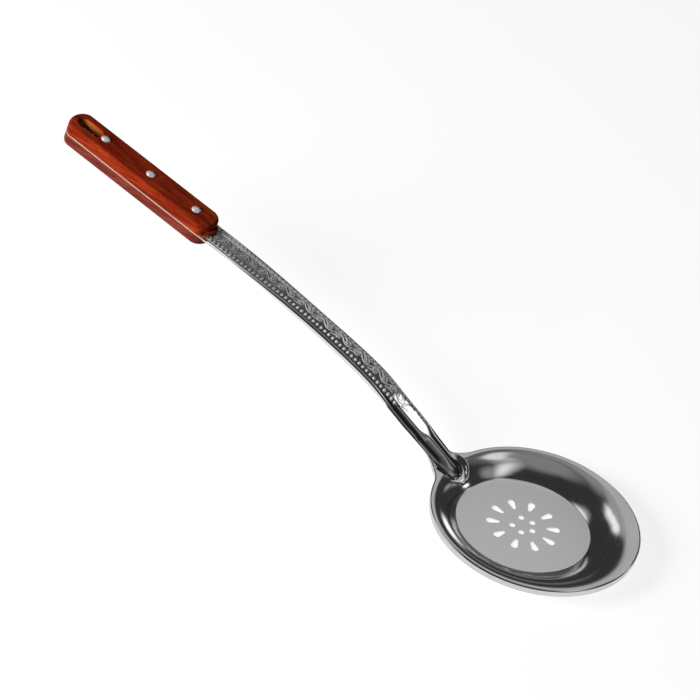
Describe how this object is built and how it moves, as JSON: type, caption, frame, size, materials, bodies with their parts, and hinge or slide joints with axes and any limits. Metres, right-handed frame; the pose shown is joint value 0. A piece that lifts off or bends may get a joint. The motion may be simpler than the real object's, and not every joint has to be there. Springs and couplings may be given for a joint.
{
  "type": "skimmer",
  "caption": "Long-handled kitchen skimmer: shallow slotted round bowl, curved embossed channel-section shank and riveted wooden grip with a hang hole.",
  "frame": {"origin": "centre of the bowl's flat underside", "axes": "+Z out of the bowl's mouth, -X along the shank towards the grip, the XZ plane is the mirror plane"},
  "size_m": [0.4816, 0.1402, 0.1014],
  "materials": {
    "bowl_steel": "polished walls, satin floor",
    "shank_steel": "polished, embossed",
    "wood": "varnished",
    "rivet": "satin"
  },
  "bodies": {
    "root": {"bowl": "bowl_steel", "shank": "shank_steel", "upper_scale": "wood", "lower_scale": "wood", "rivet_front": "rivet", "rivet_middle": "rivet", "rivet_rear": "rivet"}
  },
  "joints": []
}
